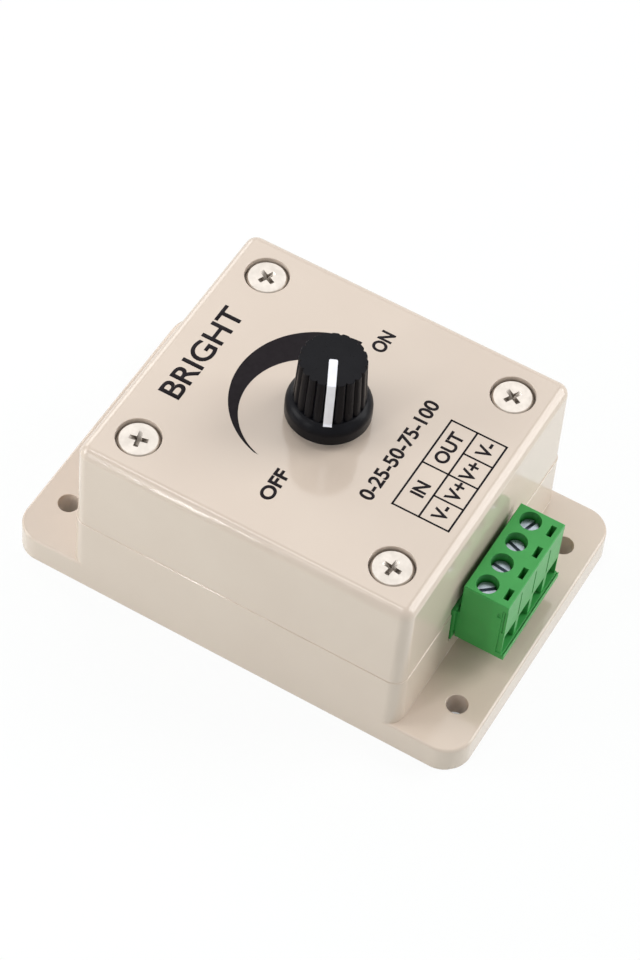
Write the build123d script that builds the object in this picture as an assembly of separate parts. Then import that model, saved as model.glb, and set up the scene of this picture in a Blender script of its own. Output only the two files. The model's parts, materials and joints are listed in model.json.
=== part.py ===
from build123d import *
import os
from math import atan2, degrees, radians, tan

os.makedirs("parts", exist_ok=True)

# Case: the origin is the middle of the underside, +X points to the terminals
flange_length = 88.7
case_width = 58.7
case_height = 36.4
body_length = 64.8
seam_height = 17.2
flange_thickness = 5.5
flange_corner = 5.2
flange_edge = 0.5
body_corner = 3.0
cover_edge = 2.0
draft = 1.1
wall = 2.4
floor = 2.4
roof = 2.4
seam_edge = 0.1
seam_step = 0.16
lip_thickness = 1.0
lip_height = 1.8
lip_gap = 0.12

# Ear holes and the coring under the ears
ear_hole_x = 77.3
ear_hole_y = 38.8
ear_hole_radius = 1.9
ear_boss_radius = 4.0
ear_skin = 2.2
ear_rim = 2.4
ear_pocket_gap = 0.8
ear_pocket_corner = 1.5

# Cover screws
screw_x = 48.1
screw_y = 41.6
screw_pocket_radius = 3.95
screw_pocket_depth = 2.0
screw_head_radius = 3.55
screw_head_sink = 0.45
screw_head_edge = 0.25
screw_core_radius = 1.4
screw_tip_z = 8.6
screw_tip_length = 2.0
screw_tip_radius = 0.3
screw_clearance = 0.5
pilot_gap = 0.1
pilot_room = 0.6
screw_turns = (13, 65, -6, 62)
cross_span = 3.4
cross_arm = 0.85
cross_depth = 1.2
cross_floor_radius = 0.5
base_column_radius = 4.2
cover_column_radius = 4.9
web_thickness = 2.0

# Circuit board and its posts
board_bottom = 8.0
board_top = 9.6
board_x = (-28.2, 29.0)
board_width = 32.4
board_corner = 1.0
post_places = ((16.5, 13.4), (16.5, -13.4), (-25.0, 13.4), (-25.0, -13.4))
post_radius = 3.0
board_screw_head_radius = 2.6
board_screw_head_height = 1.7
board_screw_head_edge = 0.6
board_screw_core_radius = 1.05
board_screw_hole_radius = 1.6

# Terminals: the header stands on the board and the plug slides into it along X
pitch = 5.08
poles = 4
pole_places = [pitch * (index - (poles - 1) / 2) for index in range(poles)]
plug_width = pitch * poles
header_back = 20.4
header_front = 32.4
header_top = 18.1
header_width = 22.4
header_wall = 1.1
header_back_wall = 2.0
pin_size = 1.0
pin_z = 13.6
pin_front = 30.6
pin_leg_x = 18.7
pin_hole_gap = 0.03
pin_bend = 0.8
pin_point = 0.25
cutout_gap = 0.4
cutout_reach = 6.0
plug_top = 24.5
plug_inner = 32.8
plug_panel = 41.25
plug_sill = 41.9
plug_sill_height = 1.35
sill_groove_x = 41.6
sill_groove_width = 0.2
sill_groove_depth = 0.25
nose_tip = 24.2
nose_gap = 0.2
plug_edge = 0.15
groove_width = 0.35
groove_depth = 0.4
groove_z = (16.6, 23.0)
end_strip_depth = 0.2
end_strip_width = 0.95
end_groove_x = 40.75
end_groove_width = 0.25
latch_notch = (0.6, 0.6, 1.2)
latch_notch_x = 39.8
latch_notch_z = 21.2
entry_width = 4.0
entry_top = 15.6
slot_x = 39.85
slot_size = (0.95, 2.35)
slot_depth = 5.5
plug_shoulder_gap = 0.15

# Wire clamps: each screw is captive and draws its cage up under the contact
clamp_x = 35.9
clamp_bore_radius = 1.92
clamp_head_radius = 1.7
clamp_head_bottom = 20.9
clamp_head_top = 22.8
clamp_slot = 0.62
clamp_slot_depth = 0.9
clamp_slot_turns = (41, -7, -18, 73)
clamp_core_radius = 1.5
clamp_tip_z = 15.8
thread_gap = 0.05
chamber_size = (4.8, 4.0)
chamber_bottom = 10.4
chamber_top = 21.0
cage_size = (4.2, 3.6)
cage_bottom = 10.6
cage_top = 18.6
cage_wall = 0.5
cage_floor = 0.8
cage_head = 1.6
cage_bend = 0.5
contact_thickness = 0.5
contact_width = 2.2
contact_tail_z = 15.2
contact_fork_gap = 0.1
contact_slot_width = 3.0
contact_slot_bottom = 12.3

# Potentiometer, clamped to the cover by its nut
pot_face = case_height - roof
pot_plate_thickness = 1.4
pot_radius = 8.3
bushing_radius = 3.5
bushing_top = 40.6
bushing_clearance = 0.2
bushing_edge = 0.4
shaft_radius = 3.0
shaft_gap = 0.05
shaft_top = 48.6
shaft_bottom = 26.2
shaft_flat = 1.5
washer_radius = 6.0
washer_thickness = 0.5
nut_flats = 10.0
nut_height = 2.0
wafer_thickness = 1.4
wafer_tongue = (6.0, 12.6)
track_radii = (4.9, 6.7)
track_thickness = 0.15
track_sweep = 300
can_bottom = 25.0
can_wall = 0.5
tab_angles = (0, 100, 260)
tab_width = 3.0
rotor_radius = 7.2
rotor_z = (27.0, 30.3)
wiper_thickness = 0.2
lug_places = (-5.0, 0.0, 5.0)
lug_width = 1.8
lug_thickness = 0.4
lug_reach = 14.6
lug_drop_z = 26.8
lead_radius = 0.65

# Knob: ribbed, on a wider skirt, with a white pointer
knob_bottom = 37.8
knob_height = 13.6
skirt_radius = 7.4
skirt_foot = 0.3
skirt_height = 2.1
shoulder_radius = 6.15
shoulder_height = 4.2
grip_radius = 5.68
grip_edge = 0.12
rib_count = 20
rib_foot_radius = 0.94
rib_tip_radius = 0.84
rib_crest = 0.06
knob_cavity_radius = 6.2
knob_cavity_depth = 2.2
knob_recess_radius = 4.4
knob_recess_top = 41.2
knob_bore_top = 49.0
bore_gap = 0.03
pointer_turn = -63.7
pointer_width = 1.45
pointer_proud = 0.06
pointer_depth = 0.45
pointer_reach = 6.5
pointer_foot = 1.0
pointer_end = 0.3


def block(low, high):
    size = Vector(*high) - Vector(*low)
    return Pos(*low) * Box(size.X, size.Y, size.Z, align=(Align.MIN, Align.MIN, Align.MIN))


def rod(radius, bottom, top):
    return Pos(0, 0, bottom) * Cylinder(radius, top - bottom, align=(Align.CENTER, Align.CENTER, Align.MIN))


def corners(spacing_x, spacing_y):
    return [Pos(x * spacing_x / 2, y * spacing_y / 2) for x in (-1, 1) for y in (-1, 1)]


def cross_recess(top):
    # The arms run down to a narrow floor, as the driver's point does
    arms = Rectangle(cross_span, cross_arm) + Rectangle(cross_arm, cross_span)
    point = Pos(0, 0, top - cross_depth / 2) * Cone(cross_floor_radius, cross_span / 2, cross_depth)
    return extrude(Pos(0, 0, top) * arms, -cross_depth) & point


def drafted_block(inset, bottom, top, length=body_length, corner=body_corner):
    # Walls lean in by the draft, and the sizes are those at the underside, less the inset
    shrink = inset + bottom * tan(radians(draft))
    outline = RectangleRounded(length - 2 * shrink, case_width - 2 * shrink, corner - shrink)
    return extrude(Pos(0, 0, bottom) * outline, top - bottom, taper=draft)


def screw_columns(radius, bottom, top):
    # Columns for the cover screws, each tied to the two walls beside it
    columns = Part()
    for sign_x in (-1, 1):
        for sign_y in (-1, 1):
            reach_x = body_length / 2 - wall - screw_x / 2
            reach_y = case_width / 2 - wall - screw_y / 2
            middle = (bottom + top) / 2
            column = rod(radius, bottom, top)
            column += Pos(sign_x * reach_x / 2, 0, middle) * Box(reach_x, web_thickness, top - bottom)
            column += Pos(0, sign_y * reach_y / 2, middle) * Box(web_thickness, reach_y, top - bottom)
            columns += Pos(sign_x * screw_x / 2, sign_y * screw_y / 2) * column
    return columns


def terminal_cutout():
    half = header_width / 2 + cutout_gap
    return block((header_front - cutout_reach, -half, board_top - cutout_gap),
                 (header_front + cutout_reach, half, header_top + cutout_gap))


def base_tray():
    ears = drafted_block(0, 0, flange_thickness, flange_length, flange_corner)
    ears = fillet(ears.faces().sort_by(Axis.Z)[-1].edges(), flange_edge)
    walls = drafted_block(0, 0, seam_height)
    walls = chamfer(walls.faces().sort_by(Axis.Z)[-1].edges(), seam_edge)
    lip = drafted_block(wall - lip_thickness, 0, seam_height + lip_height)
    cavity = drafted_block(wall, floor, seam_height + 2 * lip_height)
    tray = ears + walls + lip - cavity

    tray += screw_columns(base_column_radius, floor / 2, seam_height)
    screw_hole = rod(screw_core_radius + pilot_gap, screw_tip_z - pilot_room, case_height)
    tray -= [place * screw_hole for place in corners(screw_x, screw_y)]
    tray += [Pos(*place) * rod(post_radius, floor / 2, board_bottom) for place in post_places]
    post_hole = rod(board_screw_core_radius + pilot_gap, floor + pilot_room, board_top)
    tray -= [Pos(*place) * post_hole for place in post_places]

    tray -= [place * rod(ear_hole_radius, -1, case_height) for place in corners(ear_hole_x, ear_hole_y)]
    pocket_low = body_length / 2 + ear_pocket_gap
    pocket_high = flange_length / 2 - ear_rim
    pocket = RectangleRounded(pocket_high - pocket_low, case_width - 2 * ear_rim, ear_pocket_corner)
    for side in (-1, 1):
        outline = Pos(side * (pocket_low + pocket_high) / 2, 0) * pocket
        outline -= [place * Circle(ear_boss_radius) for place in corners(ear_hole_x, ear_hole_y)]
        tray -= extrude(outline, flange_thickness - ear_skin)
    return tray - terminal_cutout()


def top_cover():
    cover = drafted_block(seam_step, seam_height, case_height)
    cover = fillet(cover.faces().sort_by(Axis.Z)[-1].edges(), cover_edge)
    cover -= drafted_block(wall, seam_height - 1, case_height - roof)
    cover += screw_columns(cover_column_radius, seam_height, case_height - roof / 2)
    rebate_top = seam_height + lip_height + lip_gap
    rebate = drafted_block(wall - lip_thickness - lip_gap, seam_height - 1, rebate_top)
    rebate -= drafted_block(wall + lip_gap, seam_height - 1, rebate_top)
    cover -= rebate
    for place in corners(screw_x, screw_y):
        cover -= place * rod(screw_pocket_radius, case_height - screw_pocket_depth, case_height + 1)
        cover -= place * rod(screw_core_radius + screw_clearance, seam_height - 1, case_height)
    cover -= rod(bushing_radius + bushing_clearance, pot_face - 1, case_height + 1)
    return cover - terminal_cutout()


def cover_screws():
    seat = case_height - screw_pocket_depth
    top = case_height - screw_head_sink
    head = rod(screw_head_radius, seat, top)
    head = chamfer(head.edges().group_by(Axis.Z)[-1], screw_head_edge)
    point = Cone(screw_tip_radius, screw_core_radius, screw_tip_length)
    screw = head + rod(screw_core_radius, screw_tip_z + screw_tip_length, seat)
    screw += Pos(0, 0, screw_tip_z + screw_tip_length / 2) * point
    screw -= cross_recess(top)
    places = corners(screw_x, screw_y)
    return Compound(children=[place * Rot(0, 0, turn) * screw for place, turn in zip(places, screw_turns)])


def circuit_board():
    length = board_x[1] - board_x[0]
    outline = Pos(sum(board_x) / 2, 0) * RectangleRounded(length, board_width, board_corner)
    outline -= [Pos(*place) * Circle(board_screw_hole_radius) for place in post_places]
    return extrude(Pos(0, 0, board_bottom) * outline, board_top - board_bottom)


def board_screws():
    top = board_top + board_screw_head_height
    head = rod(board_screw_head_radius, board_top, top)
    head = chamfer(head.edges().group_by(Axis.Z)[-1], board_screw_head_edge)
    shank = rod(board_screw_core_radius, floor + 2 * pilot_room, board_top)
    screw = head + shank - cross_recess(top)
    return Compound(children=[Pos(*place) * screw for place in post_places])


# Circuit parts, each standing with its legs on the board

mosfet_place = (-20.6, 6.0)
diode_place = (-4.0, -10.5)
diode_leg_spacing = 15.24
chip_place = (0.0, 5.4)
chip_rows = 7.62
chip_columns = 4
grid = 2.54
capacitor_place = (9.5, -8.5)
capacitor_leg_spacing = 3.5
resistor_places = ((8.0, 4.5), (10.6, 4.5), (13.2, 4.5), (15.8, 4.5))
resistor_leg_spacing = 10.16
disc_places = ((-8.5, 6.5), (-8.5, -2.5))
disc_leg_spacing = 5.0
thin_leg_radius = 0.3


def mosfet():
    # A moulded package with its drilled metal tab above and three legs below
    depth = 4.5
    width = 10.0
    body_bottom = 13.4
    body_top = 22.6
    tab_top = 29.0
    tab_thickness = 1.3
    package = block((-depth / 2, -width / 2, body_bottom), (depth / 2, width / 2, body_top))
    package = chamfer(package.edges().group_by(Axis.Z)[-1], 0.4)
    tab = block((-depth / 2, -width / 2, body_top - 1), (tab_thickness - depth / 2, width / 2, tab_top))
    tab -= Pos(-depth / 2, 0, tab_top - 3.0) * Rot(0, 90, 0) * Cylinder(1.8, 2 * depth)
    leg = block((-0.25, -0.4, board_top), (0.25, 0.4, body_bottom))
    return Pos(*mosfet_place) * (package + tab + [Pos(0, step * grid) * leg for step in (-1, 0, 1)])


def axial_part(radius, length, leg_spacing, leg_radius, height):
    # A body lying along X on two wire legs that bend down to the board
    half = leg_spacing / 2
    route = Polyline((-half, 0, board_top), (-half, 0, height), (half, 0, height), (half, 0, board_top))
    legs = sweep(Plane(route @ 0, z_dir=route % 0) * Circle(leg_radius), route, transition=Transition.RIGHT)
    body = Pos(0, 0, height) * Rot(0, 90, 0) * Cylinder(radius, length)
    return chamfer(body.edges(), radius / 4) + legs


def diode():
    return Pos(*diode_place) * axial_part(2.6, 9.4, diode_leg_spacing, 0.55, board_top + 2.8)


def resistors():
    one = axial_part(1.15, 6.3, resistor_leg_spacing, thin_leg_radius, board_top + 1.3)
    return Compound(children=[Pos(*place) * Rot(0, 0, 90) * one for place in resistor_places])


def timer_chip():
    length = 9.8
    width = 6.4
    height = 3.4
    bottom = board_top + 0.6
    leg_top = bottom + 1.9
    leg_thickness = 0.3
    package = block((-length / 2, -width / 2, bottom), (length / 2, width / 2, bottom + height))
    package -= Pos(-length / 2, 0, bottom + height) * Cylinder(0.9, 1.0)
    outer = (chip_rows + leg_thickness) / 2
    leg = block((-0.25, outer - leg_thickness, board_top), (0.25, outer, leg_top))
    leg += block((-0.6, width / 2 - 0.2, leg_top - leg_thickness), (0.6, outer, leg_top))
    for column in range(chip_columns):
        place = Pos(grid * (column - (chip_columns - 1) / 2), 0)
        package += [Rot(0, 0, turn) * place * leg for turn in (0, 180)]
    return Pos(*chip_place) * package


def capacitor():
    # A sleeved can with a crimped groove near its foot
    radius = 4.0
    bottom = board_top + 0.2
    top = bottom + 12.5
    edge = 0.5
    groove = 0.35
    groove_z = bottom + 1.6
    profile = Polyline((0, bottom), (radius, bottom), (radius, groove_z - 2 * groove),
                       (radius - groove, groove_z), (radius, groove_z + 2 * groove),
                       (radius, top - edge), (radius - edge, top), (0, top), close=True)
    can = revolve(Plane.XZ * make_face(profile), Axis.Z)
    leg = rod(thin_leg_radius, board_top, bottom)
    can += [Pos(0, side * capacitor_leg_spacing / 2) * leg for side in (-1, 1)]
    return Pos(*capacitor_place) * can


def ceramic_capacitors():
    radius = 3.0
    thickness = 2.0
    middle = board_top + radius + 1.0
    disc = Pos(0, 0, middle) * Rot(0, 90, 0) * Cylinder(radius, thickness)
    disc = chamfer(disc.edges(), thickness / 4)
    leg = rod(thin_leg_radius, board_top, middle)
    disc += [Pos(0, side * disc_leg_spacing / 2) * leg for side in (-1, 1)]
    return Compound(children=[Pos(*place) * disc for place in disc_places])


def header_housing():
    half = header_width / 2
    mouth = plug_width / 2 + nose_gap
    housing = block((header_back, -half, board_top), (header_front, half, header_top))
    housing -= block((header_back + header_back_wall, -mouth, board_top + header_wall),
                     (header_front + 1, mouth, header_top - header_wall))
    hole = pin_size / 2 + pin_hole_gap
    housing -= [block((header_back - 1, y - hole, pin_z - hole), (header_front, y + hole, pin_z + hole))
                for y in pole_places]
    return housing


def header_pins():
    half = pin_size / 2
    route = make_face(Polyline(
        (pin_leg_x - half, board_top), (pin_leg_x + half, board_top), (pin_leg_x + half, pin_z - half),
        (pin_front, pin_z - half), (pin_front, pin_z + half), (pin_leg_x - half, pin_z + half), close=True))
    pin = extrude(Plane.XZ * route, half, both=True)
    outer_bend = pin.edges().filter_by(Axis.Y).sort_by(lambda edge: edge.center().X - edge.center().Z)[0]
    pin = fillet(outer_bend, pin_bend)
    tip = pin.faces().sort_by(Axis.X)[-1]
    pin = chamfer(tip.edges(), pin_point)
    return Compound(children=[Pos(0, y) * pin for y in pole_places])


def plug_housing():
    nose_low = board_top + header_wall + nose_gap
    nose_high = header_top - header_wall - nose_gap
    shoulder = header_front + plug_shoulder_gap
    outline = make_face(Polyline(
        (nose_tip, nose_low), (shoulder, nose_low), (shoulder, board_top),
        (plug_sill, board_top), (plug_sill, board_top + plug_sill_height),
        (plug_panel, board_top + plug_sill_height), (plug_panel, plug_top), (plug_inner, plug_top),
        (plug_inner, nose_high), (nose_tip, nose_high), close=True))
    half_width = plug_width / 2
    housing = extrude(Plane.XZ * outline, half_width, both=True)
    housing = chamfer(housing.faces().sort_by(Axis.Z)[-1].edges(), plug_edge)

    # A sunk strip with a groove and a latch notch on each end, and grooves along the sill and between poles
    strip_low = board_top + plug_sill_height
    groove_middle = sum(groove_z) / 2
    groove_height = groove_z[1] - groove_z[0]
    for side in (-1, 1):
        wall = side * half_width
        strip = Box(2 * end_strip_width, 2 * end_strip_depth, groove_z[1] - strip_low)
        housing -= Pos(plug_panel, wall, (strip_low + groove_z[1]) / 2) * strip
        end_groove = Box(end_groove_width, 2 * groove_depth, groove_height)
        housing -= Pos(end_groove_x, wall, groove_middle) * end_groove
        housing -= Pos(latch_notch_x, wall, latch_notch_z) * Box(*latch_notch)
    sill_groove = Box(sill_groove_width, 2 * plug_width, 2 * sill_groove_depth)
    housing -= Pos(sill_groove_x, 0, strip_low) * sill_groove
    for index in range(1, poles):
        groove = Box(2 * groove_depth, groove_width, groove_height)
        housing -= Pos(plug_panel, pitch * (index - poles / 2), groove_middle) * groove

    # One clamp chamber, screw bore, wire entry, test slot and contact slot for each pole
    entry = block((clamp_x, -entry_width / 2, strip_low), (plug_panel + 1, entry_width / 2, entry_top))
    chamber = block((clamp_x - chamber_size[0] / 2, -chamber_size[1] / 2, chamber_bottom),
                    (clamp_x + chamber_size[0] / 2, chamber_size[1] / 2, chamber_top))
    bore = Pos(clamp_x, 0) * rod(clamp_bore_radius, chamber_top - 1, plug_top + 1)
    slot = Pos(slot_x, 0, plug_top) * Box(slot_size[0], slot_size[1], 2 * slot_depth)
    contact_slot = block((nose_tip - 1, -contact_slot_width / 2, contact_slot_bottom),
                         (clamp_x, contact_slot_width / 2, contact_tail_z + contact_thickness + nose_gap))
    for y in pole_places:
        housing -= [Pos(0, y) * cut for cut in (entry, chamber, bore, slot, contact_slot)]
    return housing


def plug_contacts():
    # A flat tail under the clamp screw, bent down into a fork that takes the header's pin
    half = contact_width / 2
    web = pin_front + 0.8
    tail_top = contact_tail_z + contact_thickness
    prong_reach = 0.9
    tail = block((web, -half, contact_tail_z), (clamp_x + half, half, tail_top))
    bridge = block((web, -half, pin_z - prong_reach), (web + contact_thickness, half, tail_top))
    inner = pin_size / 2 + contact_fork_gap
    prong = block((nose_tip + 0.8, inner, pin_z - prong_reach),
                  (web, inner + contact_thickness, pin_z + prong_reach))
    prong = chamfer(prong.faces().sort_by(Axis.X)[0].edges().filter_by(Axis.Z), 0.2)
    contact = tail + bridge + prong + mirror(prong, Plane.XZ)
    return Compound(children=[Pos(0, y) * contact for y in pole_places])


def clamp_screw(index):
    head = rod(clamp_head_radius, clamp_head_bottom, clamp_head_top)
    head = chamfer(head.edges().group_by(Axis.Z)[-1], 0.15)
    head -= Rot(0, 0, clamp_slot_turns[index]) * (
        Pos(0, 0, clamp_head_top) * Box(4 * clamp_head_radius, clamp_slot, 2 * clamp_slot_depth))
    shank = rod(clamp_core_radius, clamp_tip_z, clamp_head_bottom)
    shank = chamfer(shank.edges().group_by(Axis.Z)[0], 0.3)
    return Pos(clamp_x, pole_places[index]) * (head + shank)


def clamp_cage(index):
    half_x = cage_size[0] / 2
    half_y = cage_size[1] / 2
    cage = block((-half_x, -half_y, cage_bottom), (half_x, half_y, cage_top))
    cage = fillet(cage.edges().filter_by(Axis.X), cage_bend)
    cage -= block((-3 * half_x, cage_wall - half_y, cage_bottom + cage_floor),
                  (3 * half_x, half_y - cage_wall, cage_top - cage_head))
    cage -= rod(clamp_core_radius + thread_gap, cage_bottom + 1, cage_top + 1)
    return Pos(clamp_x, pole_places[index]) * cage


def pot_bushing():
    bushing = rod(pot_radius, pot_face - pot_plate_thickness, pot_face)
    bushing += rod(bushing_radius, pot_face, bushing_top)
    bushing = chamfer(bushing.edges().group_by(Axis.Z)[-1], bushing_edge)
    return bushing - rod(shaft_radius + shaft_gap, pot_face - 5, bushing_top + 1)


def pot_washer():
    washer = rod(washer_radius, case_height, case_height + washer_thickness)
    return washer - rod(bushing_radius + pilot_gap, case_height - 1, case_height + 1)


def pot_nut():
    bottom = case_height + washer_thickness
    top = bottom + nut_height
    nut = extrude(Pos(0, 0, bottom) * RegularPolygon(nut_flats / 2, 6, major_radius=False), nut_height)
    corner_cone = Cone(nut_flats / 2 + nut_height, nut_flats / 2, nut_height)
    nut &= Pos(0, 0, top - nut_height / 2) * corner_cone
    return nut - rod(bushing_radius + shaft_gap, bottom - 1, top + 1)


wafer_top = pot_face - pot_plate_thickness
wafer_bottom = wafer_top - wafer_thickness


def pot_wafer():
    outline = Circle(pot_radius) + Pos(-pot_radius, 0) * Rectangle(wafer_tongue[0], wafer_tongue[1])
    outline -= Circle(shaft_radius + 8 * shaft_gap)
    return extrude(Pos(0, 0, wafer_bottom) * outline, wafer_thickness)


def pot_track():
    # The gap in the track faces the lugs
    middle = sum(track_radii) / 2
    width = track_radii[1] - track_radii[0]
    strip = Pos(middle, wafer_bottom - track_thickness / 2) * Rectangle(width, track_thickness)
    track = revolve(Plane.XZ * strip, Axis.Z, track_sweep)
    return Rot(0, 0, 180 + (360 - track_sweep) / 2) * track


def pot_lugs():
    half = lug_width / 2
    foot_end = -pot_radius - 0.9
    foot = block((-lug_reach, -half, wafer_bottom - lug_thickness), (foot_end, half, wafer_bottom))
    leg = block((-lug_reach, -half, lug_drop_z), (lug_thickness - lug_reach, half, wafer_bottom))
    return Compound(children=[Pos(0, y) * (foot + leg) for y in lug_places])


def pot_leads():
    # Each wire runs straight down from its lug to the board
    lead = rod(lead_radius, board_top, wafer_bottom - 3)
    return Compound(children=[Pos(-lug_reach - lead_radius - shaft_gap, y) * lead for y in lug_places])


def pot_can():
    outer = pot_radius + 0.1
    tab_inner = pot_radius + 0.05
    can = rod(outer, can_bottom, wafer_bottom)
    can = chamfer(can.edges().group_by(Axis.Z)[0], can_wall / 2)
    can -= rod(outer - can_wall, can_bottom + can_wall, wafer_bottom + 1)
    for angle in tab_angles:
        tab = block((tab_inner, -tab_width / 2, wafer_bottom - 2),
                    (tab_inner + can_wall, tab_width / 2, pot_face - 0.2))
        can += Rot(0, 0, angle) * tab
    return can


def pot_shaft():
    shaft = rod(shaft_radius, shaft_bottom, shaft_top)
    shaft = chamfer(shaft.edges().group_by(Axis.Z)[-1], 0.4)
    flat = block((shaft_flat, -5, knob_recess_top), (10, 5, shaft_top + 1))
    return Rot(0, 0, pointer_turn) * (shaft - flat)


def pot_rotor():
    rotor = rod(rotor_radius, *rotor_z)
    rotor = chamfer(rotor.edges().group_by(Axis.Z)[0], 0.4)
    return rotor - rod(shaft_radius + bore_gap, 0, rotor_z[1] + 1)


def pot_wiper():
    bottom = rotor_z[1]
    top = bottom + wiper_thickness
    ring_radius = 4.4
    inset = 0.3
    ring = rod(ring_radius, bottom, top) - rod(shaft_radius + 0.2, bottom - 1, top + 1)
    arm = block((ring_radius - 0.4, -0.8, bottom), (track_radii[1] - inset, 0.8, top))
    tip = block((track_radii[0] + inset, -0.6, bottom),
                (track_radii[1] - inset, 0.6, top + 1.5 * wiper_thickness))
    return Rot(0, 0, pointer_turn) * (ring + arm + tip)


def knob_blank(grow):
    # The outside of the knob without its ribs, swelled or shrunk by grow
    foot = knob_bottom
    top = knob_bottom + knob_height + grow
    skirt = skirt_radius + grow
    grip_low = (shoulder_radius + grow, foot + shoulder_height + grow)
    grip_high = (grip_radius + grow, top - grip_edge)
    outline = Line((0, foot), (skirt - skirt_foot, foot))
    outline += Line((skirt - skirt_foot, foot), (skirt, foot + skirt_foot))
    outline += Line((skirt, foot + skirt_foot), (skirt, foot + skirt_height))
    outline += TangentArc((skirt, foot + skirt_height), grip_low, tangent=(0, 1))
    outline += Line(grip_low, grip_high)
    outline += TangentArc(grip_high, (grip_radius + grow - grip_edge, top),
                          tangent=(grip_high[0] - grip_low[0], grip_high[1] - grip_low[1]))
    outline += Line((grip_radius + grow - grip_edge, top), (0, top))
    outline += Line((0, top), (0, foot))
    return revolve(Plane.XZ * make_face(outline), Axis.Z)


def pointer_slab():
    half = pointer_width / 2
    slab = block((0, -half, knob_bottom + pointer_foot), (pointer_reach, half, knob_bottom + 2 * knob_height))
    return fillet(slab.faces().sort_by(Axis.X)[0].edges().filter_by(Axis.Z), pointer_end)


def knob():
    # The grip is a ring of round ribs that lean in and taper with it, and the blank trims their ends
    grip_bottom = knob_bottom + shoulder_height
    grip_height = knob_height - shoulder_height
    rib_foot = shoulder_radius + rib_crest - rib_foot_radius
    rib_tip = grip_radius + rib_crest - rib_tip_radius
    lean = degrees(atan2(rib_foot - rib_tip, grip_height))
    taper = (rib_foot_radius - rib_tip_radius) / grip_height
    rib = Cone(rib_foot_radius + taper, rib_tip_radius - taper, grip_height + 2)
    middle = Pos((rib_foot + rib_tip) / 2, 0, grip_bottom + grip_height / 2)
    core = Pos(0, 0, grip_bottom + grip_height / 2) * Cone(rib_foot, rib_tip, grip_height)
    grip = rod(2 * skirt_radius, knob_bottom, grip_bottom) + core
    grip += [Rot(0, 0, index * 360 / rib_count) * middle * Rot(0, -lean, 0) * rib
             for index in range(rib_count)]
    body = knob_blank(0) & grip
    body -= pointer_slab() - knob_blank(-pointer_depth)

    body -= rod(knob_cavity_radius, 0, knob_bottom + knob_cavity_depth)
    body -= rod(knob_recess_radius, 0, knob_recess_top)
    bore = rod(shaft_radius + bore_gap, knob_recess_top - 1, knob_bore_top)
    bore -= block((shaft_flat + bore_gap, -5, 0), (10, 5, knob_bore_top + 1))
    return Rot(0, 0, pointer_turn) * (body - bore)


def knob_pointer():
    shell = knob_blank(pointer_proud) - knob_blank(-pointer_depth)
    return Rot(0, 0, pointer_turn) * (shell & pointer_slab())


pieces = {
    "base_tray": base_tray(),
    "top_cover": top_cover(),
    "cover_screws": cover_screws(),
    "circuit_board": circuit_board(),
    "board_screws": board_screws(),
    "mosfet": mosfet(),
    "diode": diode(),
    "timer_chip": timer_chip(),
    "capacitor": capacitor(),
    "resistors": resistors(),
    "ceramic_capacitors": ceramic_capacitors(),
    "header_housing": header_housing(),
    "header_pins": header_pins(),
    "plug_housing": plug_housing(),
    "plug_contacts": plug_contacts(),
    "pot_bushing": pot_bushing(),
    "pot_washer": pot_washer(),
    "pot_nut": pot_nut(),
    "pot_wafer": pot_wafer(),
    "pot_track": pot_track(),
    "pot_lugs": pot_lugs(),
    "pot_leads": pot_leads(),
    "pot_can": pot_can(),
    "pot_shaft": pot_shaft(),
    "pot_rotor": pot_rotor(),
    "pot_wiper": pot_wiper(),
    "knob": knob(),
    "knob_pointer": knob_pointer(),
}
for pole in range(poles):
    pieces[f"clamp_screw_{pole + 1}"] = clamp_screw(pole)
    pieces[f"clamp_cage_{pole + 1}"] = clamp_cage(pole)

for name, shape in pieces.items():
    export_step(shape, f"parts/{name}.step")
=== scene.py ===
import json
import math

import bmesh
import bpy
from mathutils import Matrix, Vector


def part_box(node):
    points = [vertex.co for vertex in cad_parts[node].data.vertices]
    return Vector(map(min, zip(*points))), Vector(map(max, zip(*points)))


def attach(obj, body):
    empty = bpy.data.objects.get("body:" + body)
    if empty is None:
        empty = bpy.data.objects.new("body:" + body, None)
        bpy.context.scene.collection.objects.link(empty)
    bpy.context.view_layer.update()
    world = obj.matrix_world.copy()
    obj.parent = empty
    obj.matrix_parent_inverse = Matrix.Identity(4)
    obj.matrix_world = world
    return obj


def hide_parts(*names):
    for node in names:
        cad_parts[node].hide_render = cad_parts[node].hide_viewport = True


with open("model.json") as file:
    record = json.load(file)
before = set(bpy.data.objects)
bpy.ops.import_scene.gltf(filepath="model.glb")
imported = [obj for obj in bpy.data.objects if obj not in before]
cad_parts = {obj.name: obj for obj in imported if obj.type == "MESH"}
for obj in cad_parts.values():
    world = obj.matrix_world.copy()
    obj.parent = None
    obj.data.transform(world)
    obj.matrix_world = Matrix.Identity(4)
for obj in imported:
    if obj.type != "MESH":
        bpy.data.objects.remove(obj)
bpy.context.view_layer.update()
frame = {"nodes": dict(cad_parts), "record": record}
nodes = frame["nodes"]
slotOf = {part["node"]: part["material_slot"] for part in frame["record"]["subparts"]}
bodyOf = {name: body for body, names in frame["record"]["behaviour"]["bodies"].items() for name in names}
mm = 0.001
scene = bpy.context.scene
scene.view_settings.view_transform = "Standard"
print("frame loaded:", len(nodes), "nodes")


def linear(hexColour):
    channels = [int(hexColour[i:i + 2], 16) / 255 for i in (1, 3, 5)]
    return [c / 12.92 if c <= 0.04045 else ((c + 0.055) / 1.055) ** 2.4 for c in channels] + [1.0]


def addNode(tree, kind, settings=None, links=None):
    node = tree.nodes.new(kind)
    for name, value in (settings or {}).items():
        if isinstance(name, str) and hasattr(node, name):
            setattr(node, name, value)
        else:
            node.inputs[name].default_value = value
    for name, socket in (links or {}).items():
        tree.links.new(socket, node.inputs[name])
    return node


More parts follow.
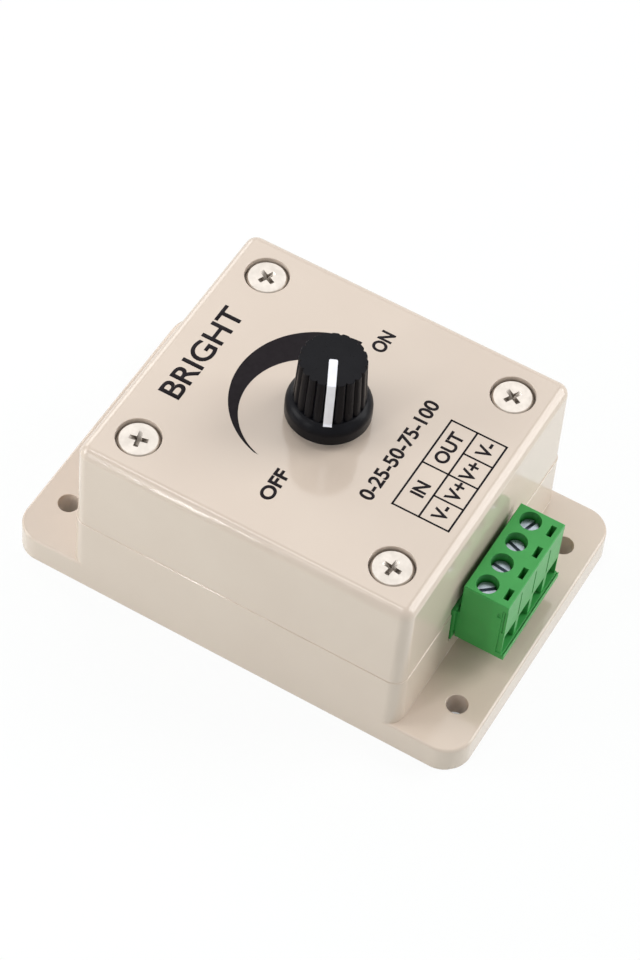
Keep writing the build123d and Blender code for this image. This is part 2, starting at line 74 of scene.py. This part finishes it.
# Finishes, one for each slot of the record. tones are the two ends of a cloudy drift in colour whose
# clouds are driftMm across, gloss the two ends of the roughness, and grain a fine relief in the skin.
# shadeTone, a painted shade, takes over below the heights in shadeMm
finishes = {
    # Injection-moulded ABS, polished mould: warm beige that goes pale where the wet gloss takes the light
    "case_plastic": {"name": "glossy moulded ABS", "tones": ("#D9CABB", "#D5C5B6"), "driftMm": 22,
                     "gloss": (0.08, 0.13), "ior": 1.53, "grainMm": 9.0, "reliefMm": 0.010,
                     "rippleMm": 3.0, "rippleReliefMm": 0.05, "rippleY": (-26.8, -27.8),
                     "rippleZ": (33.4, 34.4)},
    # Injection-moulded ABS, fine spark texture: near black, the texture swallows most of the shine
    "knob_plastic": {"name": "satin black ABS", "tones": ("#0E0E12", "#131317"), "driftMm": 3,
                     "gloss": (0.24, 0.34), "specular": 0.09, "grainMm": 0.25, "reliefMm": 0.004},
    # Hot-stamped inlay: clean white with a trace of blue
    "pointer_plastic": {"name": "white inlay plastic", "tones": ("#F8F9FF", "#F0F1F8"), "driftMm": 2,
                        "gloss": (0.25, 0.35), "ior": 1.50, "grainMm": 0.3, "reliefMm": 0.002},
    # Nickel on steel, tumbled: pale satin heads, with painted shade and grime down in the cross
    "nickel_steel": {"name": "satin nickel plate", "tones": ("#CCC5BD", "#BDB6AE"), "driftMm": 1.6,
                     "gloss": (0.34, 0.44), "metal": 1.0, "grainMm": 0.4, "reliefMm": 0.003,
                     "shadeTone": "#857D75", "shadeMm": (34.9, 35.9)},
    # Zinc on steel, turned: cool blue grey with darker patches, and painted shade in the slot
    "zinc_steel": {"name": "zinc plate", "tones": ("#9EA6AE", "#848B94"), "driftMm": 0.8,
                   "gloss": (0.24, 0.34), "metal": 1.0, "grainMm": 0.5, "reliefMm": 0.001,
                   "shadeTone": "#8A939B", "shadeMm": (21.9, 22.75)},
    # Injection-moulded polyamide: saturated green, slightly waxy
    "terminal_plastic": {"name": "green polyamide", "tones": ("#40A24F", "#3A9A49"), "driftMm": 5,
                         "gloss": (0.30, 0.42), "specular": 0.32, "grainMm": 0.5, "reliefMm": 0.004},
    # Tin on stamped brass: soft silver with a warm cast
    "contact_metal": {"name": "tinned brass", "tones": ("#D8D2C2", "#C4BBA4"), "driftMm": 1.0,
                      "gloss": (0.25, 0.40), "metal": 1.0, "grainMm": 0.4, "reliefMm": 0.003},
    # Turned brass: yellow with tool marks
    "bushing_metal": {"name": "turned brass", "tones": ("#D9C088", "#C2A566"), "driftMm": 1.5,
                      "gloss": (0.18, 0.30), "metal": 1.0, "grainMm": 0.3, "reliefMm": 0.003},
    # Turned aluminium: pale and slightly frosted
    "shaft_metal": {"name": "turned aluminium", "tones": ("#D6D7D9", "#C3C5C8"), "driftMm": 1.2,
                    "gloss": (0.22, 0.34), "metal": 1.0, "grainMm": 0.3, "reliefMm": 0.003},
    # Glass-fibre laminate under green resist: glossy with the weave just showing
    "board_laminate": {"name": "green solder resist", "tones": ("#1F6B35", "#185A2B"), "driftMm": 1.4,
                       "gloss": (0.20, 0.32), "ior": 1.55, "grainMm": 0.7, "reliefMm": 0.004},
    # Transfer-moulded epoxy: flat black with a peppery skin
    "package_black": {"name": "moulded epoxy", "tones": ("#1B1B1C", "#262627"), "driftMm": 0.8,
                      "gloss": (0.50, 0.62), "ior": 1.55, "grainMm": 0.2, "reliefMm": 0.006},
    # Dipped lacquer: sandy and smooth
    "resistor_body": {"name": "sand lacquer", "tones": ("#C9AC7C", "#BA9B6A"), "driftMm": 1.5,
                      "gloss": (0.30, 0.45), "ior": 1.50, "grainMm": 0.5, "reliefMm": 0.006},
    # Dipped ceramic: ochre with an uneven coat
    "disc_body": {"name": "dipped ceramic", "tones": ("#C7822F", "#B26F23"), "driftMm": 1.8,
                  "gloss": (0.35, 0.50), "ior": 1.50, "grainMm": 0.6, "reliefMm": 0.010},
    # Shrunk PVC sleeve: dark blue with a plastic shine
    "can_sleeve": {"name": "shrunk PVC sleeve", "tones": ("#1E2440", "#171B32"), "driftMm": 4,
                   "gloss": (0.14, 0.24), "ior": 1.53, "grainMm": 1.5, "reliefMm": 0.006},
    # Punched phenolic paper: brown and fibrous
    "wafer_board": {"name": "phenolic paper", "tones": ("#8A5A33", "#774A28"), "driftMm": 1.2,
                    "gloss": (0.40, 0.55), "ior": 1.55, "grainMm": 0.5, "reliefMm": 0.006},
    # Screen-printed carbon ink: soot black and flat
    "carbon_film": {"name": "printed black ink", "tones": ("#201C1F", "#252124"), "driftMm": 0.9,
                    "gloss": (0.45, 0.60), "specular": 0.06, "grainMm": 0.2, "reliefMm": 0.002},
    # Moulded acetal: milky off-white
    "rotor_plastic": {"name": "moulded acetal", "tones": ("#E2E2DC", "#D6D6CF"), "driftMm": 3,
                      "gloss": (0.35, 0.45), "ior": 1.48, "grainMm": 0.6, "reliefMm": 0.004},
    # Extruded PVC: red, drawn smooth along the wire
    "wire_cover": {"name": "red PVC insulation", "tones": ("#B4262B", "#A01E23"), "driftMm": 4,
                   "gloss": (0.30, 0.42), "ior": 1.52, "grainMm": 0.8, "reliefMm": 0.004},
}

patternSettings = {"detail": 2.0, "rippleDetail": 1.0, "toneStops": (0.3, 0.7)}


def makeFinish(look):
    material = bpy.data.materials.new(look["name"])
    material.use_nodes = True
    tree = material.node_tree
    tree.nodes.clear()
    place = addNode(tree, "ShaderNodeTexCoord").outputs["Object"]
    detail = patternSettings["detail"]
    drift = addNode(tree, "ShaderNodeTexNoise", {"Scale": 1 / (look["driftMm"] * mm), "Detail": detail},
                    {"Vector": place})
    tone = addNode(tree, "ShaderNodeValToRGB", links={"Fac": drift.outputs["Fac"]})
    for stop, position, colour in zip(tone.color_ramp.elements, patternSettings["toneStops"], look["tones"]):
        stop.position = position
        stop.color = linear(colour)
    grain = addNode(tree, "ShaderNodeTexNoise", {"Scale": 1 / (look["grainMm"] * mm), "Detail": detail},
                    {"Vector": place})
    gloss = addNode(tree, "ShaderNodeMapRange", {"To Min": look["gloss"][0], "To Max": look["gloss"][1]},
                    {"Value": grain.outputs["Fac"]})
    relief = addNode(tree, "ShaderNodeBump", {"Distance": look["reliefMm"] * mm, "Strength": 1.0},
                     {"Height": grain.outputs["Fac"]})
    colour = tone.outputs["Color"]
    axes = addNode(tree, "ShaderNodeSeparateXYZ", links={"Vector": place})
    if "rippleMm" in look:
        # Flow ripple that the mould leaves along the cover's front edge, which breaks up the shine there
        shares = []
        for axis, key in (("Y", "rippleY"), ("Z", "rippleZ")):
            low, high = look[key]
            shares.append(addNode(tree, "ShaderNodeMapRange", {"From Min": low * mm, "From Max": high * mm},
                                  {"Value": axes.outputs[axis]}).outputs["Result"])
        edge = addNode(tree, "ShaderNodeMath", {"operation": "MULTIPLY"}, dict(enumerate(shares)))
        ripple = addNode(tree, "ShaderNodeTexNoise",
                         {"Scale": 1 / (look["rippleMm"] * mm), "Detail": patternSettings["rippleDetail"]},
                         {"Vector": place})
        relief = addNode(tree, "ShaderNodeBump", {"Distance": look["rippleReliefMm"] * mm},
                         {"Strength": edge.outputs["Value"], "Height": ripple.outputs["Fac"],
                          "Normal": relief.outputs["Normal"]})
    if "shadeMm" in look:
        # Painted shade and grime below the heads, darker with depth by height
        low, high = look["shadeMm"]
        depth = addNode(tree, "ShaderNodeMapRange", {"From Min": low * mm, "From Max": high * mm},
                        {"Value": axes.outputs["Z"]})
        shadeAndGrime = addNode(tree, "ShaderNodeMix", {"data_type": "RGBA", 6: linear(look["shadeTone"])},
                       {0: depth.outputs["Result"], 7: colour})
        colour = shadeAndGrime.outputs[2]
    shader = addNode(tree, "ShaderNodeBsdfPrincipled",
                     {"Metallic": look.get("metal", 0.0), "IOR": look.get("ior", 1.5),
                      "Specular IOR Level": look.get("specular", 0.5)},
                     {"Base Color": colour, "Roughness": gloss.outputs["Result"],
                      "Normal": relief.outputs["Normal"]})
    addNode(tree, "ShaderNodeOutputMaterial", links={"Surface": shader.outputs["BSDF"]})
    return material


materials = {slot: makeFinish(look) for slot, look in finishes.items()}
for name, node in nodes.items():
    node.data.materials.clear()
    node.data.materials.append(materials[slotOf[name]])
print("finishes made:", len(materials))


def addPiece(name, mesh, body, slot):
    # A new piece at the origin, riding its body in the finish of a slot
    piece = bpy.data.objects.new(name, mesh)
    scene.collection.objects.link(piece)
    mesh.materials.clear()
    mesh.materials.append(materials[slot])
    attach(piece, body)
    return piece


# Edges that the mould leaves on each visible piece, in millimetres. Where it is 0, the solid's own
# edges are fine enough and only its shading is smoothed
softEdges = {
    "base_tray": 0.12,
    "top_cover": 0.12,
    "header_housing": 0.10,
    "plug_housing": 0.09,
    "cover_screws": 0.0,
    "knob": 0.0,
    "knob_pointer": 0.0,
    "clamp_screw_1": 0.0,
    "clamp_screw_2": 0.0,
    "clamp_screw_3": 0.0,
    "clamp_screw_4": 0.0,
}
edgeSettings = {"mergeMm": 0.002, "flatDegrees": 0.2, "roundDegrees": 55, "sharpDegrees": 38, "segments": 3,
                "room": 2.2, "shellMm": 0.45, "seamMm": (16.9, 17.5)}


def roomBeside(edge):
    # Width of the narrower face beside an edge
    return min(2 * face.calc_area() / face.calc_perimeter() for face in edge.link_faces)


def staysCrisp(name, edge):
    # Edges that meet along the case's seam, and those inside the chambers of the plug and header
    if slotOf[name] == "case_plastic":
        low, high = edgeSettings["seamMm"]
        return all(low * mm < vert.co.z < high * mm for vert in edge.verts)
    low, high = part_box(name)
    depth = edgeSettings["shellMm"] * mm
    return not all(any(vert.co[i] < low[i] + depth or vert.co[i] > high[i] - depth for i in range(3))
                   for vert in edge.verts)


def softened(name, edgeMm):
    # The node's own shape, with its crisp edges rounded off as they are on the real piece
    shape = bmesh.new()
    shape.from_mesh(nodes[name].data)
    bmesh.ops.remove_doubles(shape, verts=shape.verts, dist=edgeSettings["mergeMm"] * mm)
    bmesh.ops.dissolve_limit(shape, angle_limit=math.radians(edgeSettings["flatDegrees"]), verts=shape.verts,
                             edges=shape.edges)
    if edgeMm:
        crisp = [edge for edge in shape.edges
                 if edge.calc_face_angle(0) > math.radians(edgeSettings["roundDegrees"])
                 and roomBeside(edge) > edgeSettings["room"] * edgeMm * mm
                 and not staysCrisp(name, edge)]
        bmesh.ops.bevel(shape, geom=crisp, offset=edgeMm * mm, offset_type="OFFSET", affect="EDGES",
                        segments=edgeSettings["segments"], profile=0.5, clamp_overlap=False, material=-1)
    for face in shape.faces:
        face.smooth = True
    for edge in shape.edges:
        edge.smooth = edge.calc_face_angle(0) < math.radians(edgeSettings["sharpDegrees"])
    mesh = bpy.data.meshes.new(name + "_skin")
    shape.to_mesh(mesh)
    shape.free()
    piece = addPiece(name + "_skin", mesh, bodyOf[name], slotOf[name])
    shading = piece.modifiers.new("flat faces stay flat", "WEIGHTED_NORMAL")
    shading.keep_sharp = True
    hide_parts(name)
    return piece


skins = {name: softened(name, edgeMm) for name, edgeMm in softEdges.items()}
print("edges softened:", len(skins), "pieces")


# Printed face: places on the cover in millimetres, where lettering reads along +Y with its tops towards -X
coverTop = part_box("top_cover")[1].z / mm
ink = {"lift": 0.012, "thickness": 0.03, "curveSteps": 6, "mergeUnits": 1e-6}
lettering = [
    # text, baseline x, cap top x, first y, last y, weight added to the strokes
    ("BRIGHT", -22.65, -26.7, -10.65, 11.3, 0.016),
    ("0-25-50-75-100", 14.77, 12.2, -11.5, 12.25, 0.026),
    ("OFF", 0.9, -1.6, -20.45, -13.75, 0.034),
    ("ON", 1.2, -1.35, 16.5, 21.2, 0.034),
    ("IN", 21.55, 19.15, -6.35, -3.35, 0.030),
    ("OUT", 21.45, 19.0, 1.55, 8.6, 0.030),
    ("V-", 26.85, 24.35, -8.8, -5.6, 0.026),
    ("V+", 26.8, 24.35, -4.25, -0.05, 0.026),
    ("V+", 26.85, 24.35, 0.65, 4.8, 0.026),
    ("V-", 26.9, 24.35, 6.4, 9.7, 0.026),
]


def inkPiece(name, shape):
    # A flat outline, given the ink's thickness and laid on the cover
    faces = shape.faces[:]
    for face in faces:
        if face.normal.z < 0:
            face.normal_flip()
    grown = bmesh.ops.extrude_face_region(shape, geom=faces)
    lifted = [item for item in grown["geom"] if isinstance(item, bmesh.types.BMVert)]
    bmesh.ops.translate(shape, verts=lifted, vec=(0, 0, ink["thickness"] * mm))
    bmesh.ops.reverse_faces(shape, faces=faces)
    base = coverTop - ink["thickness"] + ink["lift"]
    bmesh.ops.translate(shape, verts=shape.verts, vec=(0, 0, base * mm))
    mesh = bpy.data.meshes.new(name)
    shape.to_mesh(mesh)
    shape.free()
    return addPiece(name, mesh, "case", "carbon_film")


def letterPiece(index, text, baseline, capTop, first, last, weight):
    curve = bpy.data.curves.new("letters", "FONT")
    curve.body = text
    curve.offset = weight
    curve.resolution_u = ink["curveSteps"]
    source = bpy.data.objects.new("letters", curve)
    scene.collection.objects.link(source)
    flat = bpy.data.meshes.new_from_object(source.evaluated_get(bpy.context.evaluated_depsgraph_get()))
    bpy.data.objects.remove(source)
    shape = bmesh.new()
    shape.from_mesh(flat)
    bpy.data.meshes.remove(flat)
    bmesh.ops.remove_doubles(shape, verts=shape.verts, dist=ink["mergeUnits"])
    low = Vector((min(v.co.x for v in shape.verts), 0, 0))
    width = max(v.co.x for v in shape.verts) - low.x
    height = max(v.co.y for v in shape.verts)
    bmesh.ops.translate(shape, verts=shape.verts, vec=-low)
    bmesh.ops.scale(shape, verts=shape.verts,
                    vec=((last - first) * mm / width, (baseline - capTop) * mm / height, 1))
    bmesh.ops.rotate(shape, verts=shape.verts, matrix=Matrix.Rotation(math.pi / 2, 3, "Z"))
    bmesh.ops.translate(shape, verts=shape.verts, vec=(baseline * mm, first * mm, 0))
    shape.normal_update()
    return inkPiece(f"print_{index}_{''.join(c for c in text if c.isalnum())}", shape)


for index, line in enumerate(lettering):
    letterPiece(index, *line)

terminalTable = {"x": (17.9, 22.85, 28.4), "y": (-9.9, 10.45), "cells": (-4.8, 0.25, 5.4), "pen": 0.35}


def tableLines():
    lowX, midX, highX = terminalTable["x"]
    lowY, highY = terminalTable["y"]
    half = terminalTable["pen"] / 2
    bars = [((x - half, lowY - half), (x + half, highY + half)) for x in terminalTable["x"]]
    bars += [((lowX - half, y - half), (highX + half, y + half)) for y in (lowY, highY)]
    first, middle, last = terminalTable["cells"]
    bars += [((midX, y - half), (highX, y + half)) for y in (first, last)]
    bars += [((lowX, middle - half), (highX, middle + half))]
    for index, (low, high) in enumerate(bars):
        shape = bmesh.new()
        bmesh.ops.create_grid(shape, x_segments=1, y_segments=1, size=0.5)
        bmesh.ops.scale(shape, verts=shape.verts, vec=((high[0] - low[0]) * mm, (high[1] - low[1]) * mm, 1))
        bmesh.ops.translate(shape, verts=shape.verts,
                            vec=((low[0] + high[0]) / 2 * mm, (low[1] + high[1]) / 2 * mm, 0))
        shape.normal_update()
        inkPiece(f"print_table_{index}", shape)


tableLines()

# Dial mark that swells from OFF round to ON: a crescent between two circles, one above the other in Y
dialMark = {"outerCentre": (-2.5, 1.58), "outerRadius": 15.29, "innerCentre": (-2.5, -1.62),
            "innerRadius": 11.99, "thick": 91.5, "thin": 255.0, "steps": 96}


def swellingArc():
    outerCentre, innerCentre = (Vector((*dialMark[key], 0)) * mm for key in ("outerCentre", "innerCentre"))
    start = math.radians(dialMark["thick"])
    arm = Vector((math.cos(start), math.sin(start), 0))
    shape = bmesh.new()
    edge = shape.edges.new((shape.verts.new(outerCentre + arm * dialMark["outerRadius"] * mm),
                            shape.verts.new(outerCentre + arm * dialMark["innerRadius"] * mm)))
    bmesh.ops.spin(shape, geom=[edge], cent=outerCentre, axis=(0, 0, 1),
                   angle=math.radians(dialMark["thin"] - dialMark["thick"]), steps=dialMark["steps"])
    halfWay = (dialMark["outerRadius"] + dialMark["innerRadius"]) / 2 * mm
    inner = [vert for vert in shape.verts if (vert.co - outerCentre).length < halfWay]
    bmesh.ops.translate(shape, verts=inner, vec=innerCentre - outerCentre)
    shape.normal_update()
    inkPiece("print_dial_mark", shape)


swellingArc()
print("cover printed")

# Stage: a pale floor that stays white to the eye but takes the object's shadow, and soft studio light
stage = {"floorSize": 4.0, "paper": "#F4FCFA", "glow": "#FFFFFF", "shadowShare": 0.09, "skyLevel": 0.37,
         "shadeInset": 2.2, "underShare": 0.7}


def whiteToTheEye(tree):
    # 1 for rays from the camera and in reflections and glass, 0 for light that falls on the object
    path = addNode(tree, "ShaderNodeLightPath")
    seen = addNode(tree, "ShaderNodeMath", {"operation": "MAXIMUM"},
                   {0: path.outputs["Is Camera Ray"], 1: path.outputs["Is Glossy Ray"]})
    return addNode(tree, "ShaderNodeMath", {"operation": "MAXIMUM"},
                   {0: seen.outputs["Value"], 1: path.outputs["Is Transmission Ray"]}).outputs["Value"]


def paperMaterial(name, shadowShare):
    # Plain white paper, of which only shadowShare shows the light and shadow on it
    material = bpy.data.materials.new(name)
    material.use_nodes = True
    tree = material.node_tree
    tree.nodes.clear()
    paper = addNode(tree, "ShaderNodeBsdfDiffuse", {"Color": linear(stage["paper"])})
    glow = addNode(tree, "ShaderNodeEmission", {"Color": linear(stage["glow"]), "Strength": 1.0})
    share = addNode(tree, "ShaderNodeMath", {"operation": "MULTIPLY", 1: 1 - shadowShare},
                    {0: whiteToTheEye(tree)})
    blend = addNode(tree, "ShaderNodeMixShader",
                    links={0: share.outputs["Value"], 1: paper.outputs["BSDF"], 2: glow.outputs["Emission"]})
    addNode(tree, "ShaderNodeOutputMaterial", links={"Surface": blend.outputs["Shader"]})
    return material


def makeFloor():
    # The patch under the flange shows through the ear holes, so it stays in full shade
    low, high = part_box("base_tray")
    inset = 2 * stage["shadeInset"] * mm
    shape = bmesh.new()
    bmesh.ops.create_grid(shape, x_segments=1, y_segments=1, size=0.5)
    bmesh.ops.scale(shape, verts=shape.verts, vec=(high.x - low.x - inset, high.y - low.y - inset, 1))
    rim = bmesh.ops.extrude_edge_only(shape, edges=shape.edges[:])
    outer = [item for item in rim["geom"] if isinstance(item, bmesh.types.BMVert)]
    reach = stage["floorSize"] / 2
    for vert in outer:
        vert.co = Vector((math.copysign(reach, vert.co.x), math.copysign(reach, vert.co.y), 0))
    bmesh.ops.recalc_face_normals(shape, faces=shape.faces)
    nearest = min(shape.faces, key=lambda face: face.calc_center_median().length)
    nearest.material_index = 1
    mesh = bpy.data.meshes.new("floor")
    shape.to_mesh(mesh)
    shape.free()
    floor = bpy.data.objects.new("floor", mesh)
    scene.collection.objects.link(floor)
    mesh.materials.append(paperMaterial("white paper sweep", stage["shadowShare"]))
    mesh.materials.append(paperMaterial("paper under the flange", stage["underShare"]))


def makeSky():
    world = bpy.data.worlds.new("studio sky")
    scene.world = world
    world.use_nodes = True
    tree = world.node_tree
    tree.nodes.clear()
    level = addNode(tree, "ShaderNodeMapRange", {"To Min": stage["skyLevel"], "To Max": 1.0},
                    {"Value": whiteToTheEye(tree)})
    sky = addNode(tree, "ShaderNodeBackground", {"Color": linear(stage["glow"])},
                  {"Strength": level.outputs["Result"]})
    addNode(tree, "ShaderNodeOutputWorld", links={"Surface": sky.outputs["Background"]})


# place, aim and size in millimetres, level is the brightness against white
softboxes = {
    "back softbox": {"place": (-220, 467, 700), "aim": (0, 0, 36), "size": (460, 420), "level": 1.1},
    "right softbox": {"place": (480, 440, 480), "aim": (20, 0, 20), "size": (500, 500), "level": 4.4},
    "low right softbox": {"place": (545, 345, 140), "aim": (40, 0, 15), "size": (180, 180), "level": 3.9},
    "left softbox": {"place": (-260, -170, 160), "aim": (-30, -29, 20), "size": (160, 160), "level": 5.0},
    "left back softbox": {"place": (-500, 260, 220), "aim": (-30, 20, 20), "size": (260, 260), "level": 3.0},
    "top front lamp": {"place": (-140, -88, 614), "aim": (0, -28, 36), "size": (90, 220), "level": 5.5},
    "high front lamp": {"place": (-130, -320, 540), "aim": (10, -28, 36), "size": (50, 200), "level": 3.0},
    "front lamp": {"place": (-177, -530, 300), "aim": (-8, -28, 35), "size": (16, 220), "level": 20.0},
    "low front lamp": {"place": (-190, -594, 125), "aim": (-14, -28, 35), "size": (16, 100), "level": 16.0},
    "left front lamp": {"place": (-235, -518, 293), "aim": (-40, -29, 5), "size": (60, 420), "level": 2.6},
    "corner lamp": {"place": (572, -97, 286), "aim": (30, -26, 35), "size": (16, 32), "level": 20.0},
}


def makeSoftboxes():
    for name, row in softboxes.items():
        lamp = bpy.data.lights.new(name, "AREA")
        lamp.shape = "RECTANGLE"
        lamp.size, lamp.size_y = (side * mm for side in row["size"])
        lamp.energy = row["level"] * math.pi * lamp.size * lamp.size_y
        box = bpy.data.objects.new(name, lamp)
        scene.collection.objects.link(box)
        box.visible_camera = False
        place = Vector(row["place"])
        box.location = place * mm
        box.rotation_euler = (Vector(row["aim"]) - place).to_track_quat("-Z", "Y").to_euler()


makeFloor()
makeSky()
makeSoftboxes()

# Camera: solved from the case's edges, looking down on the front right corner
view = {"azimuth": 25.208, "elevation": 53.314, "roll": 6.045, "distanceMm": 549.314, "sideMm": 1.010,
        "riseMm": 10.955, "focalPixels": 3124.915, "imageHeight": 960, "sensorMm": 36.0,
        "nearMm": 10}


def makeCamera():
    turn, tilt, roll = (math.radians(view[key]) for key in ("azimuth", "elevation", "roll"))
    back = Vector((math.sin(turn) * math.cos(tilt), -math.cos(turn) * math.cos(tilt), math.sin(tilt)))
    level = Vector((math.cos(turn), math.sin(turn), 0))
    upright = back.cross(level)
    right = level * math.cos(roll) + upright * math.sin(roll)
    up = upright * math.cos(roll) - level * math.sin(roll)
    lens = bpy.data.cameras.new("camera")
    lens.sensor_fit = "VERTICAL"
    lens.sensor_height = view["sensorMm"]
    lens.lens = view["focalPixels"] * view["sensorMm"] / view["imageHeight"]
    lens.clip_start = view["nearMm"] * mm
    camera = bpy.data.objects.new("camera", lens)
    scene.collection.objects.link(camera)
    place = (right * view["sideMm"] + up * view["riseMm"] + back * view["distanceMm"]) * mm
    camera.matrix_world = Matrix.Translation(place) @ Matrix((right, up, back)).transposed().to_4x4()
    scene.camera = camera


makeCamera()
print("stage and camera set")
